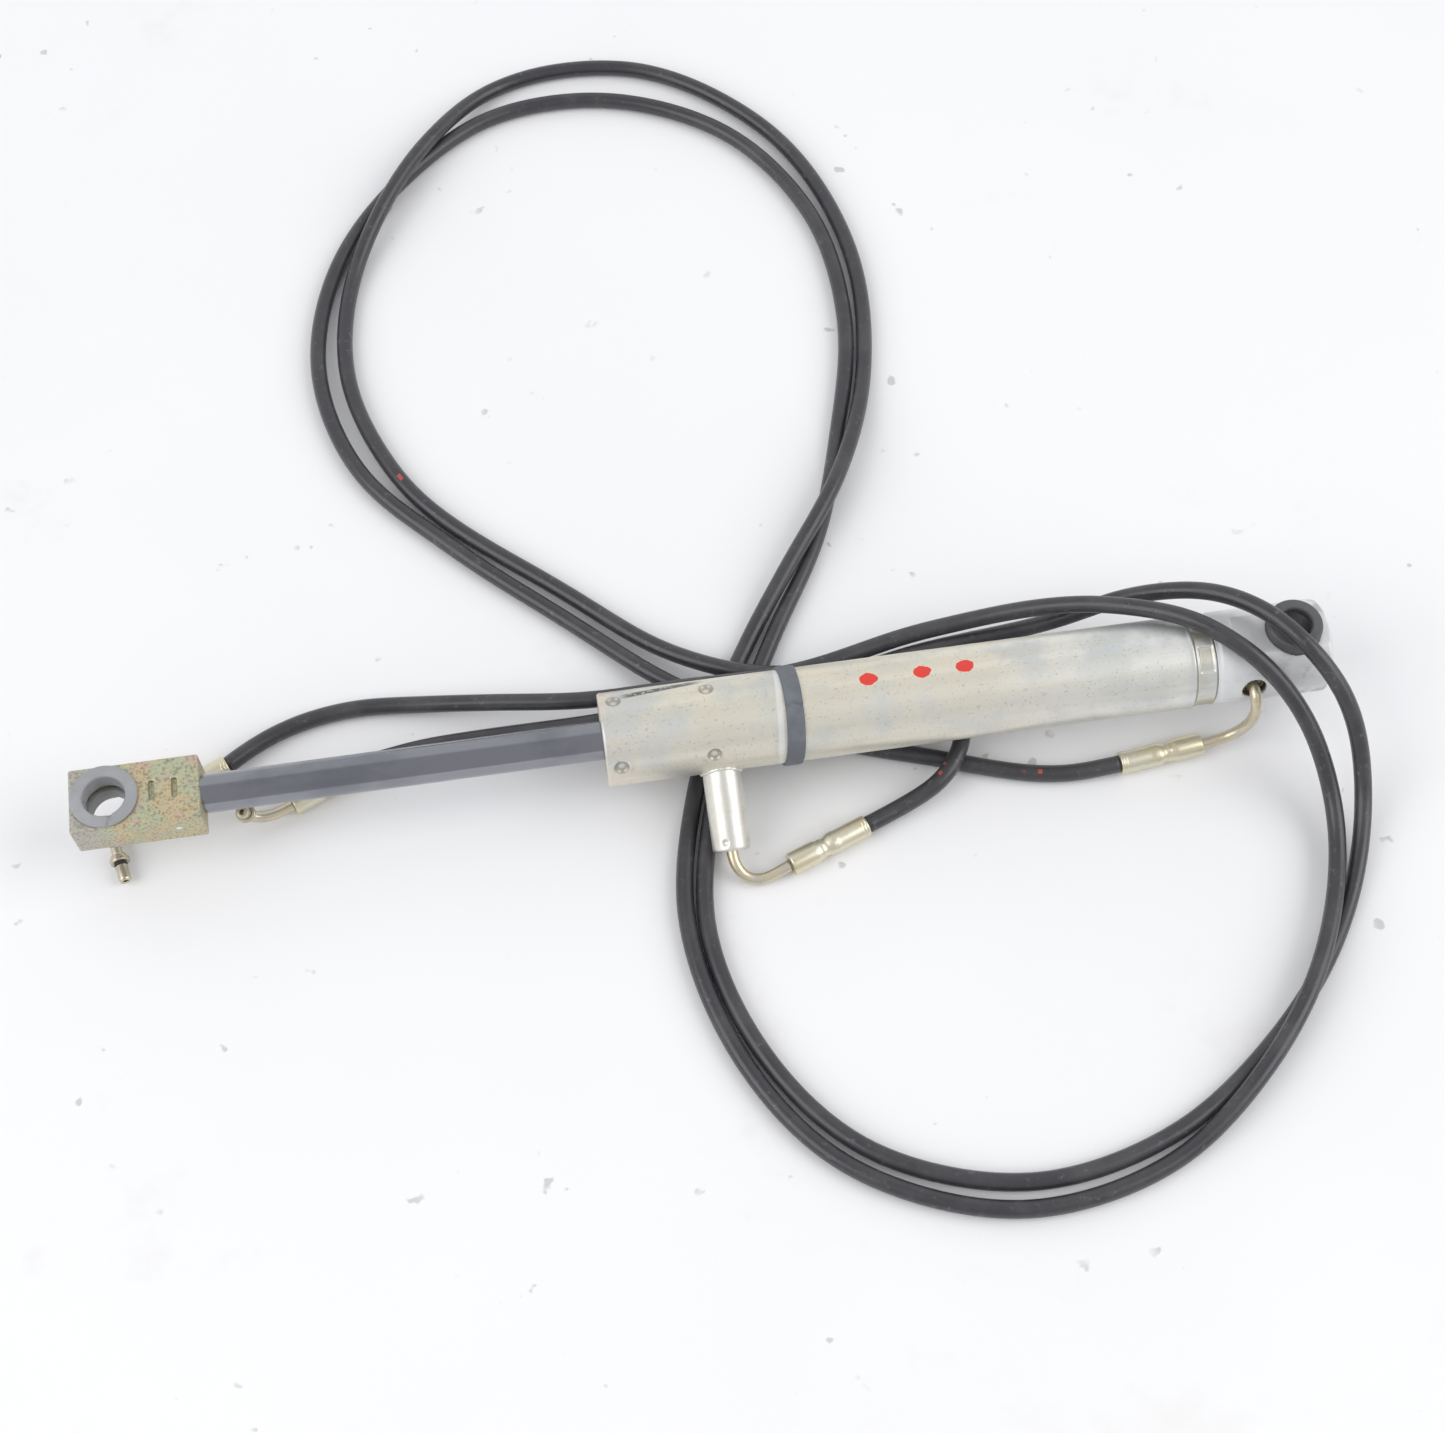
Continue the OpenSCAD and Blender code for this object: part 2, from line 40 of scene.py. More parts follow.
# The routes of part.scad, in metres.
ROUTE_A = [
    (-0.161, -0.036, -0.0256), (-0.1485, -0.0312, -0.0256), (-0.129, -0.0225, -0.021),
    (-0.1187, -0.004, -0.02), (-0.1275, 0.0185, -0.024), (-0.151, 0.027, -0.0267),
    (-0.197, 0.0305, -0.0198), (-0.222, 0.045, -0.024), (-0.2545, 0.075, -0.0268),
    (-0.318, 0.142, -0.0268), (-0.333, 0.19, -0.0268), (-0.328, 0.236, -0.0264),
    (-0.308, 0.2765, -0.0202), (-0.29, 0.302, -0.0204), (-0.258, 0.3325, -0.0265),
    (-0.2, 0.3355, -0.0268), (-0.147, 0.295, -0.0268), (-0.1215, 0.225, -0.0268),
    (-0.126, 0.165, -0.0268), (-0.147, 0.11, -0.02), (-0.173, 0.073, -0.022), (-0.191, 0.048, -0.0264),
    (-0.2205, -0.012, -0.0268), (-0.231, -0.06, -0.0268), (-0.188, -0.161, -0.0268),
    (-0.132, -0.184, -0.0268), (-0.075, -0.1735, -0.0266), (-0.041, -0.149, -0.021),
    (-0.014, -0.117, -0.0202), (0.0075, -0.055, -0.0175), (-0.001, -0.03, 0.0035),
    (-0.015, -0.013, 0.017), (-0.033, 0.0034, 0.021), (-0.062, 0.022, 0.0105), (-0.127, 0.0335, -0.012),
    (-0.18, 0.0239, -0.0133), (-0.222, 0.0244, -0.0142), (-0.254, 0.0252, -0.016),
    (-0.293, 0.0328, -0.0215), (-0.318, 0.0376, -0.0252), (-0.343, 0.0402, -0.0266),
    (-0.368, 0.0357, -0.0266), (-0.381, 0.0296, -0.0262), (-0.3905, 0.023, -0.0256),
]
ROUTE_B = [
    (-0.064, -0.0253, -0.0256), (-0.082, -0.026, -0.0268), (-0.136, -0.0105, -0.0268),
    (-0.167, 0, -0.026), (-0.205, 0.017, -0.0201), (-0.225, 0.032, -0.0225), (-0.2525, 0.06, -0.0268),
    (-0.299, 0.105, -0.0268), (-0.332, 0.145, -0.0268), (-0.3445, 0.195, -0.0268),
    (-0.332, 0.249, -0.0268), (-0.302, 0.289, -0.0268), (-0.26, 0.3175, -0.0268),
    (-0.215, 0.32, -0.0268), (-0.165, 0.2955, -0.0268), (-0.135, 0.247, -0.0268),
    (-0.1295, 0.19, -0.0268), (-0.142, 0.135, -0.0268), (-0.1575, 0.09, -0.0268),
    (-0.1835, 0.045, -0.0268), (-0.216, -0.022, -0.0268), (-0.2242, -0.065, -0.0268),
    (-0.18, -0.1565, -0.0268), (-0.128, -0.175, -0.0268), (-0.075, -0.165, -0.0268),
    (-0.035, -0.139, -0.0268), (-0.003, -0.105, -0.0268), (0.0135, -0.075, -0.0246),
    (0.0185, -0.057, -0.018), (0.0115, -0.0255, 0.013), (0.0005, -0.0112, 0.0232),
    (-0.0095, 0.003, 0.0236), (-0.022, 0.0145, 0.0205), (-0.05, 0.028, 0.0045), (-0.08, 0.029, -0.0095),
    (-0.13, 0.0275, -0.0168), (-0.18, 0.0168, -0.014), (-0.216, 0.0169, -0.014),
    (-0.255, 0.0158, -0.0164), (-0.275, 0.0184, -0.0215), (-0.3, 0.0204, -0.0256),
    (-0.32, 0.0202, -0.0268), (-0.3385, 0.0165, -0.0256),
]
ROUTE_PIPE_A = [
    (-0.1912, -0.0475, -0.0256), (-0.1955, -0.0491, -0.0262), (-0.202, -0.0508, -0.0274),
    (-0.208, -0.049, -0.0263), (-0.2108, -0.0448, -0.0237), (-0.2113, -0.0402, -0.0214),
    (-0.2113, -0.0367, -0.0195),
]
ROUTE_PIPE_B = [
    (-0.032, -0.0217, -0.0256), (-0.027, -0.0213, -0.0252), (-0.0205, -0.021, -0.0228),
    (-0.0158, -0.0208, -0.0165), (-0.0148, -0.0209, -0.009), (-0.0154, -0.0211, -0.003),
    (-0.016, -0.0211, 0.0001), (-0.0162, -0.0205, 0.0021), (-0.0162, -0.0189, 0.0034),
    (-0.0162, -0.0168, 0.0036), (-0.0162, -0.0113, 0.0024),
]
ROUTE_PIPE_1 = [
    (-0.4198, 0.0101, -0.0256), (-0.424, 0.0082, -0.0258), (-0.4298, 0.0042, -0.0261),
    (-0.4328, -0.0014, -0.0263), (-0.4318, -0.0072, -0.0263),
]
ROUTE_PIPE_2 = [
    (-0.3674, 0.0035, -0.0256), (-0.3725, 0.0014, -0.0258), (-0.378, 0.0001, -0.0257),
    (-0.3824, 0.0004, -0.0242), (-0.384, 0.0004, -0.021),
]
NIPPLE_1 = (Vector((-0.4318, -0.0072, -0.0263)), Vector((0.22, -1, -0.03)))
NIPPLE_2 = (Vector((-0.384, 0.0004, -0.021)), Vector((0, -0.38, 0.92)))

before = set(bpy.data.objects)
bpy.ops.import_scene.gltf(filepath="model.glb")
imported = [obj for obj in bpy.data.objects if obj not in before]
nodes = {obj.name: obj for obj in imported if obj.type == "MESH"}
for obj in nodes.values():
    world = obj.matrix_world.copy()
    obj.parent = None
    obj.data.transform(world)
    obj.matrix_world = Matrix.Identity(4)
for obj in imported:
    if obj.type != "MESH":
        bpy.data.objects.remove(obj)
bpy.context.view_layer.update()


# ---------------------------------------------------------------- camera
def make_camera():
    data = bpy.data.cameras.new("camera")
    data.lens = 58.66
    data.sensor_width = 36
    data.clip_start = 0.01
    data.clip_end = 10
    camera = bpy.data.objects.new("camera", data)
    bpy.context.scene.collection.objects.link(camera)
    camera.location = (-0.26569, -0.37825, 0.75965)
    camera.rotation_euler = (math.radians(26.915), 0, math.radians(-8.569))
    bpy.context.scene.camera = camera


make_camera()


# ---------------------------------------------------------------- curves and meshes
def curve_points(route, step, low):
    """Points about step apart on a smooth curve through the route, never below low."""
    p = [Vector(q) for q in route]
    n = len(p)
    span = [(p[i + 1] - p[i]).length for i in range(n - 1)]
    chord = [(p[i + 1] - p[i]) / span[i] for i in range(n - 1)]
    slope = [None] * n
    for i in range(1, n - 1):
        slope[i] = (chord[i - 1] * span[i] + chord[i] * span[i - 1]) / (span[i - 1] + span[i])
    slope[0] = (3 * chord[0] - slope[1]) / 2
    slope[-1] = (3 * chord[-1] - slope[-2]) / 2
    out = []
    for i in range(n - 1):
        pieces = max(2, round(span[i] / step))
        for j in range(pieces):
            t = j / pieces
            out.append(
                (2 * t**3 - 3 * t**2 + 1) * p[i]
                + (t**3 - 2 * t**2 + t) * span[i] * slope[i]
                + (3 * t**2 - 2 * t**3) * p[i + 1]
                + (t**3 - t**2) * span[i] * slope[i + 1]
            )
    out.append(p[-1])
    for q in out:
        q.z = max(q.z, low)
    return out


def relaxed(points, rounds, low):
    """Evens out the bends of a curve and keeps both ends and their directions."""
    for _ in range(rounds):
        moved = list(points)
        for i in range(3, len(points) - 3):
            moved[i] = points[i] * 0.5 + (points[i - 1] + points[i + 1]) * 0.25
            moved[i].z = max(moved[i].z, low)
        points = moved
    return points


def add_object(name, verts, faces, uvs=None, smooth=True):
    mesh = bpy.data.meshes.new(name)
    mesh.from_pydata([tuple(v) for v in verts], [], faces)
    if uvs is not None:
        layer = mesh.uv_layers.new(name="UVMap")
        for loop in mesh.loops:
            layer.data[loop.index].uv = uvs[loop.vertex_index]
    for polygon in mesh.polygons:
        polygon.use_smooth = smooth
    mesh.update()
    obj = bpy.data.objects.new(name, mesh)
    bpy.context.scene.collection.objects.link(obj)
    return obj


def tube_along(name, points, radius, sides, wobble=0.0):
    """A round tube along points; the UV map's u runs round it and v is the length in metres."""
    verts, faces, uvs = [], [], []
    tangent = (points[1] - points[0]).normalized()
    side = tangent.cross(Vector((0, 0, 1)))
    if side.length < 0.1:
        side = tangent.cross(Vector((0, 1, 0)))
    side.normalize()
    run = 0.0
    last = len(points) - 1
    for i, centre in enumerate(points):
        ahead = (points[min(i + 1, last)] - points[max(i - 1, 0)]).normalized()
        side = (side - ahead * side.dot(ahead)).normalized()
        up = side.cross(ahead)
        if i:
            run += (centre - points[i - 1]).length
        swell = 1 + wobble * noise.noise(Vector((run * 60, 3.1, 0.4)))
        for k in range(sides + 1):
            a = 2 * math.pi * k / sides
            verts.append(centre + (side * math.cos(a) + up * math.sin(a)) * radius * swell)
            uvs.append((k / sides, run))
    row = sides + 1
    for i in range(last):
        for k in range(sides):
            a = i * row + k
            faces.append((a, a + 1, a + row + 1, a + row))
    for base, order in ((0, 1), (last * row, -1)):
        verts.append(points[0] if order == 1 else points[-1])
        uvs.append((0, 0))
        tip = len(verts) - 1
        for k in range(sides):
            pair = (base + k + 1, base + k) if order == 1 else (base + k, base + k + 1)
            faces.append((tip, *pair))
    obj = add_object(name, verts, faces, uvs)
    weld = obj.modifiers.new("seam", "WELD")
    weld.merge_threshold = 1e-6
    return obj


def spin(name, profile, steps, place, bend=None):
    """A closed (radius, height) outline turned round Z, then put in place by a matrix."""
    verts, faces = [], []
    count = len(profile)
    for s in range(steps):
        a = 2 * math.pi * s / steps
        for r, h in profile:
            q = Vector((r * math.cos(a), r * math.sin(a), h))
            verts.append(bend(q, a) if bend else q)
    for s in range(steps):
        t = (s + 1) % steps
        for k in range(count):
            m = (k + 1) % count
            quad = (s * count + k, t * count + k, t * count + m, s * count + m)
            faces.append(quad)
    obj = add_object(name, [place @ v for v in verts], faces)
    weld = obj.modifiers.new("axis", "WELD")
    weld.merge_threshold = 1e-6
    return obj


def rounded(outline, radius, parts=4):
    """The outline with each corner replaced by a small arc-like curve."""
    out = []
    n = len(outline)
    for i in range(n):
        p = Vector(outline[i])
        a, b = Vector(outline[i - 1]), Vector(outline[(i + 1) % n])
        da, db = (a - p), (b - p)
        if da.length < 1e-7 or db.length < 1e-7:
            out.append(tuple(p))
            continue
        r = min(radius, da.length * 0.45, db.length * 0.45)
        s, e = p + da.normalized() * r, p + db.normalized() * r
        for k in range(parts + 1):
            t = k / parts
            q = s * (1 - t) ** 2 + p * 2 * t * (1 - t) + e * t**2
            out.append((max(q.x, 0.0), q.y))
    return out


def aimed(point, direction):
    """The matrix that turns +Z to a direction and moves the origin to a point."""
    return Matrix.Translation(point) @ Vector((0, 0, 1)).rotation_difference(
        Vector(direction).normalized()
    ).to_matrix().to_4x4()


def along_x(x):
    return Matrix.Translation((x, 0, 0)) @ Matrix.Rotation(math.pi / 2, 4, "Y")


def soften(name, node, voxel, rounds):
    """A copy of a CAD node with its edges rounded by a fine remesh."""
    source = nodes[node]
    obj = bpy.data.objects.new(name, source.data.copy())
    bpy.context.scene.collection.objects.link(obj)
    obj.data.materials.clear()
    remesh = obj.modifiers.new("remesh", "REMESH")
    remesh.mode = "VOXEL"
    remesh.voxel_size = voxel
    remesh.use_smooth_shade = True
    smooth = obj.modifiers.new("smooth", "SMOOTH")
    smooth.factor = 0.5
    smooth.iterations = rounds
    dg = bpy.context.evaluated_depsgraph_get()
    baked = bpy.data.meshes.new_from_object(obj.evaluated_get(dg))
    obj.modifiers.clear()
    old = obj.data
    obj.data = baked
    bpy.data.meshes.remove(old)
    for polygon in obj.data.polygons:
        polygon.use_smooth = True
    return obj


def clamp01(x):
    return min(1.0, max(0.0, x))


def ease(x, a, b):
    t = clamp01((x - a) / (b - a))
    return t * t * (3 - 2 * t)


def finish_piece(obj, material, body, slot, *replaced):
    obj.data.materials.clear()
    obj.data.materials.append(material)
    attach(obj, body)
    if replaced:
        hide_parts(*replaced)
    return obj


# ---------------------------------------------------------------- materials
class Nodes:
    """Short names for the shader nodes that the materials share."""

    def __init__(self, name):
        self.material = bpy.data.materials.new(name)
        self.material.use_nodes = True
        self.tree = self.material.node_tree
        self.shader = next(n for n in self.tree.nodes if n.type == "BSDF_PRINCIPLED")
        self.coords = self.tree.nodes.new("ShaderNodeTexCoord")

    def link(self, a, b):
        self.tree.links.new(a, b)

    def mapped(self, scale=(1, 1, 1), source="Object", shift=(0, 0, 0)):
        node = self.tree.nodes.new("ShaderNodeMapping")
        node.inputs["Scale"].default_value = scale
        node.inputs["Location"].default_value = shift
        self.link(self.coords.outputs[source], node.inputs["Vector"])
        return node.outputs["Vector"]

    def noise(self, vector, scale, detail=4.0, rough=0.55):
        node = self.tree.nodes.new("ShaderNodeTexNoise")
        node.inputs["Scale"].default_value = scale
        node.inputs["Detail"].default_value = detail
        node.inputs["Roughness"].default_value = rough
        self.link(vector, node.inputs["Vector"])
        return node.outputs["Fac"]

    def cells(self, vector, scale):
        node = self.tree.nodes.new("ShaderNodeTexVoronoi")
        node.inputs["Scale"].default_value = scale
        self.link(vector, node.inputs["Vector"])
        return node.outputs["Distance"]

    def axis(self, vector, which):
        node = self.tree.nodes.new("ShaderNodeSeparateXYZ")
        self.link(vector, node.inputs[0])
        return node.outputs[which]

    def math(self, operation, a, b=0.0, c=None):
        node = self.tree.nodes.new("ShaderNodeMath")
        node.operation = operation
        for socket, value in zip(node.inputs, (a, b, c)):
            if value is None:
                continue
            if isinstance(value, (int, float)):
                socket.default_value = value
            else:
                self.link(value, socket)
        return node.outputs[0]

    def ramp(self, value, low, high, to=(0.0, 1.0)):
        node = self.tree.nodes.new("ShaderNodeMapRange")
        node.interpolation_type = "SMOOTHSTEP"
        node.inputs["From Min"].default_value = low
        node.inputs["From Max"].default_value = high
        node.inputs["To Min"].default_value = to[0]
        node.inputs["To Max"].default_value = to[1]
        self.link(value, node.inputs["Value"])
        return node.outputs["Result"]

    def mix(self, factor, a, b, blend="MIX"):
        node = self.tree.nodes.new("ShaderNodeMix")
        node.data_type = "RGBA"
        node.blend_type = blend
        sockets = (node.inputs[0], node.inputs[6], node.inputs[7])
        for socket, value in zip(sockets, (factor, a, b)):
            if isinstance(value, (int, float)):
                socket.default_value = value
            elif isinstance(value, tuple):
                socket.default_value = (*value, 1.0) if len(value) == 3 else value
            else:
                self.link(value, socket)
        return node.outputs[2]

    def bump(self, height, strength, distance):
        node = self.tree.nodes.new("ShaderNodeBump")
        node.inputs["Strength"].default_value = strength
        node.inputs["Distance"].default_value = distance
        self.link(height, node.inputs["Height"])
        self.link(node.outputs["Normal"], self.shader.inputs["Normal"])

    def finish(self, color, rough, metallic=0.0, **fixed):
        self.put("Base Color", color)
        self.put("Roughness", rough)
        self.put("Metallic", metallic)
        for key, value in fixed.items():
            self.put(key.replace("_", " "), value)
        return self.material

    def put(self, key, value):
        socket = self.shader.inputs[key]
        if isinstance(value, (int, float)):
            socket.default_value = value
        elif isinstance(value, tuple):
            socket.default_value = (*value, 1.0)
        else:
            self.link(value, socket)


def zinc_tube_material():
    m = Nodes("tube_zinc")
    grain = m.noise(m.mapped((4, 260, 260)), 1.0, 5.0, 0.6)
    speck = m.noise(m.mapped((1, 1, 1)), 900, 3.0, 0.6)
    cloud = m.noise(m.mapped((1, 1, 1)), 38, 5.0, 0.6)
    bloom = m.noise(m.mapped((0.35, 1, 1), shift=(0.3, 0.1, 0)), 60, 6.0, 0.65)
    x = m.axis(m.coords.outputs["Object"], 0)
    y = m.axis(m.coords.outputs["Object"], 1)
    z = m.axis(m.coords.outputs["Object"], 2)
    warm = (0.80, 0.755, 0.63)
    pink = (0.80, 0.70, 0.60)
    cool = (0.60, 0.63, 0.63)
    pale = (0.80, 0.81, 0.80)
    color = m.mix(m.ramp(x, -0.13, -0.05), warm, pale)
    color = m.mix(m.ramp(x, -0.235, -0.252), color, pink)
    color = m.mix(m.ramp(cloud, 0.46, 0.64, (0, 0.85)), color, cool)
    # painted shade: the near side of the tube, towards -Y, is mixed towards a darker, greyer beige
    painted_front_shade = m.ramp(y, 0.004, -0.012, (0, 0.4))
    color = m.mix(painted_front_shade, color, (0.76, 0.745, 0.69))
    color = m.mix(m.ramp(bloom, 0.56, 0.74, (0, 0.6)), color, (0.60, 0.60, 0.57))
    color = m.mix(m.ramp(grain, 0.35, 0.7, (0, 0.35)), color, (0.62, 0.57, 0.45))
    color = m.mix(m.ramp(speck, 0.58, 0.70, (0, 0.55)), color, (0.42, 0.41, 0.37))
    # darker film, rim lines and golden tint at the rolled end by the cap
    corner = m.ramp(x, -0.043, -0.0385, (0, 0.40))
    color = m.mix(corner, color, (0.58, 0.61, 0.62))
    rim = m.ramp(m.math("ABSOLUTE", m.math("ADD", x, 0.0377)), 0.0007, 0.0002, (0, 0.75))
    color = m.mix(rim, color, (0.30, 0.28, 0.22))
    golden = m.math("MULTIPLY", m.ramp(x, -0.0372, -0.0362), m.ramp(bloom, 0.38, 0.58, (0, 0.8)))
    color = m.mix(golden, color, (0.56, 0.50, 0.36))
    rim = m.ramp(x, -0.0309, -0.0303, (0, 0.7))
    color = m.mix(rim, color, (0.26, 0.25, 0.22))
    # dark rings round the staked dimples
    for centre in DIMPLE_ROWS:
        for turn in (65, 155, 335):
            a = math.radians(turn)
            dx = m.math("SUBTRACT", x, centre)
            dy = m.math("SUBTRACT", y, TUBE_R * math.cos(a))
            dz = m.math("SUBTRACT", z, TUBE_R * math.sin(a))
            d = m.math("ADD", m.math("MULTIPLY", dx, dx), m.math("MULTIPLY", dy, dy))
            d = m.math("SQRT", m.math("ADD", d, m.math("MULTIPLY", dz, dz)))
            hollow = m.math("MULTIPLY", m.ramp(d, 0.0031, 0.0025), m.ramp(d, 0.0012, 0.0019))
            color = m.mix(m.math("MULTIPLY", hollow, 0.6), color, (0.28, 0.26, 0.22))
    # pale residue beside the band
    residue = m.math("ADD", x, m.math("MULTIPLY", y, -0.07))
    residue = m.math("MULTIPLY", m.ramp(residue, -0.1898, -0.1892), m.ramp(residue, -0.1872, -0.1878))
    color = m.mix(m.math("MULTIPLY", residue, 0.6), color, (0.88, 0.88, 0.87))
    # scuff that runs up from the rod end on the far side
    along = m.math("ADD", m.math("MULTIPLY", m.math("SUBTRACT", y, 0.009), 1.0),
                   m.math("MULTIPLY", m.math("ADD", x, 0.243), -0.115))
    line = m.ramp(m.math("ABSOLUTE", along), 0.0016, 0.0007)
    rub = m.noise(m.mapped((1, 1.6, 1)), 520, 3.0, 0.7)
    line = m.math("MULTIPLY", line, m.ramp(rub, 0.30, 0.48))
    line = m.math("MULTIPLY", line, m.ramp(x, -0.246, -0.240))
    line = m.math("MULTIPLY", line, m.ramp(x, -0.212, -0.220))
    line = m.math("MULTIPLY", line, m.ramp(z, 0.002, 0.006))
    color = m.mix(line, color, (0.10, 0.10, 0.105))
    # three dabs of red paint along the top
    dabs = None
    for centre in (-0.1558, -0.1363, -0.1208):
        dx = m.math("DIVIDE", m.math("SUBTRACT", x, centre), 0.0033)
        dy = m.math("DIVIDE", m.math("SUBTRACT", y, 0.0018), 0.0025)
        edge = m.noise(m.mapped((1, 1, 1)), 420, 2.0, 0.5)
        d = m.math("ADD", m.math("MULTIPLY", dx, dx), m.math("MULTIPLY", dy, dy))
        d = m.math("ADD", d, m.math("MULTIPLY", m.math("SUBTRACT", edge, 0.5), 0.9))
        spot = m.math("MULTIPLY", m.ramp(d, 1.08, 0.92), m.ramp(z, 0.012, 0.014))
        dabs = spot if dabs is None else m.math("MAXIMUM", dabs, spot)
    color = m.mix(dabs, color, (0.72, 0.045, 0.03))
    rough = m.ramp(cloud, 0.3, 0.75, (0.30, 0.44))
    rough = m.math("ADD", rough, m.math("MULTIPLY", m.ramp(grain, 0.3, 0.7), 0.08))
    metal = m.math("SUBTRACT", 0.62, m.math("MULTIPLY", m.math("MAXIMUM", dabs, line), 0.62))
    height = m.math("ADD", m.math("MULTIPLY", grain, 0.5), m.math("MULTIPLY", speck, 0.5))
    height = m.math("ADD", height, m.math("MULTIPLY", dabs, 1.6))
    m.bump(height, 0.35, 0.00006)
    return m.finish(color, rough, metal)


def plated_material(name, base, tint, dark, rough, metallic=0.9, grain=600, bump=0.25):
    """Zinc plating: a base colour clouded with a tint, with darker specks."""
    m = Nodes(name)
    cloud = m.noise(m.mapped(), 120, 4.0, 0.6)
    fine = m.noise(m.mapped(shift=(0.2, 0.4, 0.1)), grain, 3.0, 0.6)
    color = m.mix(m.ramp(cloud, 0.40, 0.65), base, tint)
    color = m.mix(m.ramp(fine, 0.60, 0.75, (0, 0.6)), color, dark)
    m.bump(fine, bump, 0.00005)
    roughness = m.ramp(cloud, 0.3, 0.7, (rough, rough + 0.12))
    return m.finish(color, roughness, metallic)


def rainbow_material():
    m = Nodes("block_chromate")
    cloud = m.noise(m.mapped(), 95, 4.0, 0.6)
    other = m.noise(m.mapped(shift=(0.7, 0.2, 0.5)), 130, 4.0, 0.65)
    fine = m.noise(m.mapped(), 950, 3.0, 0.6)
    y = m.axis(m.coords.outputs["Object"], 1)
    x = m.axis(m.coords.outputs["Object"], 0)
    gold, green, pink, grey = (0.60, 0.50, 0.31), (0.50, 0.53, 0.36), (0.60, 0.42, 0.38), (0.47, 0.455, 0.42)
    color = m.mix(m.ramp(cloud, 0.42, 0.58), gold, green)
    color = m.mix(m.ramp(other, 0.52, 0.66, (0, 0.85)), color, pink)
    color = m.mix(m.ramp(x, -0.422, -0.438, (0, 0.85)), color, grey)
    color = m.mix(m.ramp(fine, 0.46, 0.66, (0, 0.75)), color, (0.27, 0.215, 0.15))
    # bright punched mark on the near face
    dx = m.math("DIVIDE", m.math("ADD", x, 0.4045), 0.0012)
    dz = m.math("DIVIDE", m.math("SUBTRACT", m.axis(m.coords.outputs["Object"], 2), 0.001), 0.0008)
    spot = m.ramp(m.math("ADD", m.math("MULTIPLY", dx, dx), m.math("MULTIPLY", dz, dz)), 1.1, 0.7)
    spot = m.math("MULTIPLY", spot, m.ramp(y, -0.0118, -0.0122))
    color = m.mix(m.math("MULTIPLY", spot, 0.8), color, (0.92, 0.92, 0.95))
    m.bump(m.math("ADD", fine, m.math("MULTIPLY", cloud, 0.7)), 0.4, 0.00007)
    rough = m.ramp(other, 0.3, 0.7, (0.34, 0.50))
    return m.finish(color, rough, 0.55)


def chrome_material():
    m = Nodes("rod_chrome")
    lines = m.noise(m.mapped((6, 900, 900)), 1.0, 3.0, 0.5)
    smudge = m.noise(m.mapped((0.6, 1, 1)), 45, 5.0, 0.6)
    color = m.mix(m.ramp(smudge, 0.45, 0.7), (0.30, 0.305, 0.335), (0.235, 0.24, 0.27))
    m.bump(lines, 0.12, 0.00003)
    return m.finish(color, m.ramp(smudge, 0.35, 0.75, (0.13, 0.24)), 1.0)


def cast_material():
    m = Nodes("cap_blasted")
    fine = m.noise(m.mapped(), 1500, 3.0, 0.7)
    cloud = m.noise(m.mapped(), 70, 5.0, 0.6)
    stain = m.noise(m.mapped(shift=(0.4, 0.7, 0.2)), 110, 5.0, 0.65)
    pits = m.cells(m.mapped(), 520)
    x = m.axis(m.coords.outputs["Object"], 0)
    color = m.mix(m.ramp(cloud, 0.40, 0.66), (0.80, 0.805, 0.81), (0.70, 0.71, 0.72))
    near_eye = m.math("MULTIPLY", m.ramp(stain, 0.52, 0.66), m.ramp(x, -0.012, 0.004))
    color = m.mix(m.math("MULTIPLY", near_eye, 0.65), color, (0.40, 0.39, 0.38))
    color = m.mix(m.ramp(pits, 0.12, 0.05, (0, 0.35)), color, (0.50, 0.50, 0.50))
    y = m.axis(m.coords.outputs["Object"], 1)
    z = m.axis(m.coords.outputs["Object"], 2)
    dx = m.math("DIVIDE", m.math("ADD", x, 0.008), 0.0011)
    dy = m.math("DIVIDE", m.math("SUBTRACT", y, 0.0125), 0.0016)
    spot = m.ramp(m.math("ADD", m.math("MULTIPLY", dx, dx), m.math("MULTIPLY", dy, dy)), 1.15, 0.75)
    spot = m.math("MULTIPLY", spot, m.ramp(z, 0.006, 0.008))
    color = m.mix(spot, color, (0.72, 0.20, 0.08))
    sine, cosine = math.sin(CAP_PORT_TILT), math.cos(CAP_PORT_TILT)
    out = m.math("SUBTRACT", m.math("MULTIPLY", z, sine), m.math("MULTIPLY", y, cosine))
    over = m.math("ADD", m.math("MULTIPLY", y, sine), m.math("MULTIPLY", z, cosine))
    aside = m.math("SUBTRACT", x, CAP_PORT_X)
    far = m.math("SQRT", m.math("ADD", m.math("MULTIPLY", over, over), m.math("MULTIPLY", aside, aside)))
    wall = m.math("MULTIPLY", m.ramp(far, 0.0052, 0.0048), m.ramp(out, 0.0163, 0.0156))
    wall = m.math("MULTIPLY", wall, m.ramp(out, 0.0070, 0.0080))
    color = m.mix(wall, color, (0.20, 0.165, 0.12))
    rough = m.ramp(cloud, 0.3, 0.7, (0.42, 0.58))
    m.bump(m.math("ADD", fine, m.math("MULTIPLY", cloud, 0.6)), 0.3, 0.00008)
    return m.finish(color, rough, 0.35)


def rubber_material(name, color, rough, grain=700, bump=0.3, dust=(0.30, 0.30, 0.31), amount=0.22):
    m = Nodes(name)
    fine = m.noise(m.mapped(), grain, 4.0, 0.6)
    cloud = m.noise(m.mapped(), 85, 5.0, 0.6)
    base = m.mix(m.ramp(cloud, 0.45, 0.72, (0, amount)), color, dust)
    base = m.mix(m.ramp(fine, 0.60, 0.75, (0, 0.25)), base, dust)
    m.bump(fine, bump, 0.00008)
    return m.finish(base, m.ramp(cloud, 0.3, 0.7, (rough, rough + 0.14)), 0.0)


